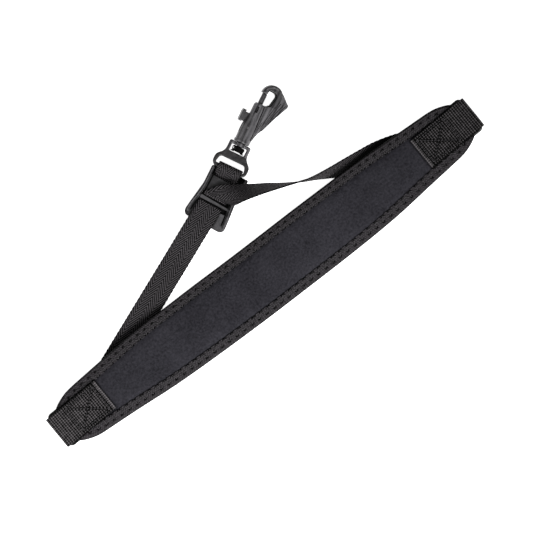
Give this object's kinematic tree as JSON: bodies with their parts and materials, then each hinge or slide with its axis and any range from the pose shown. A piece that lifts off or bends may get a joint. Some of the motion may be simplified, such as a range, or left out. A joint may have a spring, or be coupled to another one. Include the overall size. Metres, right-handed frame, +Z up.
{
  "type": "padded neck strap with swivel snap hook",
  "caption": "Padded neck strap, widest in the middle, with end rings, a webbing bridle through a slider, and a swivel snap hook with a spring bolt.",
  "frame": {"origin": "on the floor under the centre of the whole strap's bounding box, as it lies flat", "axes": "+X along the neck pad, +Y from the pad towards the snap hook, +Z up off the floor"},
  "size_m": [0.3958, 0.139, 0.0239],
  "materials": {
    "neoprene": "smooth knitted face over foam",
    "binding": "woven, matte",
    "tab_webbing": "ribbed webbing, matte",
    "webbing": "herringbone webbing, matte",
    "ring_wire": "satin",
    "slider_plastic": "matte moulded",
    "hook_plastic": "matte moulded"
  },
  "bodies": {
    "strap": {"neck_pad": "neoprene", "edge_binding": "binding", "tab_left": "tab_webbing", "tab_right": "tab_webbing", "ring_left": "ring_wire", "ring_right": "ring_wire", "strap_webbing": "webbing", "slider": "slider_plastic", "swivel_eye": "hook_plastic"},
    "hook": {"hook_body": "hook_plastic"},
    "bolt": {"hook_bolt": "hook_plastic"}
  },
  "joints": [
    {"name": "hook_swivel", "type": "hinge", "parent": "strap", "child": "hook", "pos_m": [0.0454, 0.04717, 0.0066], "axis": [0.8942, 0.4478, 0], "continuous": true},
    {"name": "bolt_slide", "type": "slide", "parent": "hook", "child": "bolt", "axis": [-0.8942, -0.4478, 0], "range_m": [0, 0.008], "stiffness_N_per_m": 150}
  ]
}
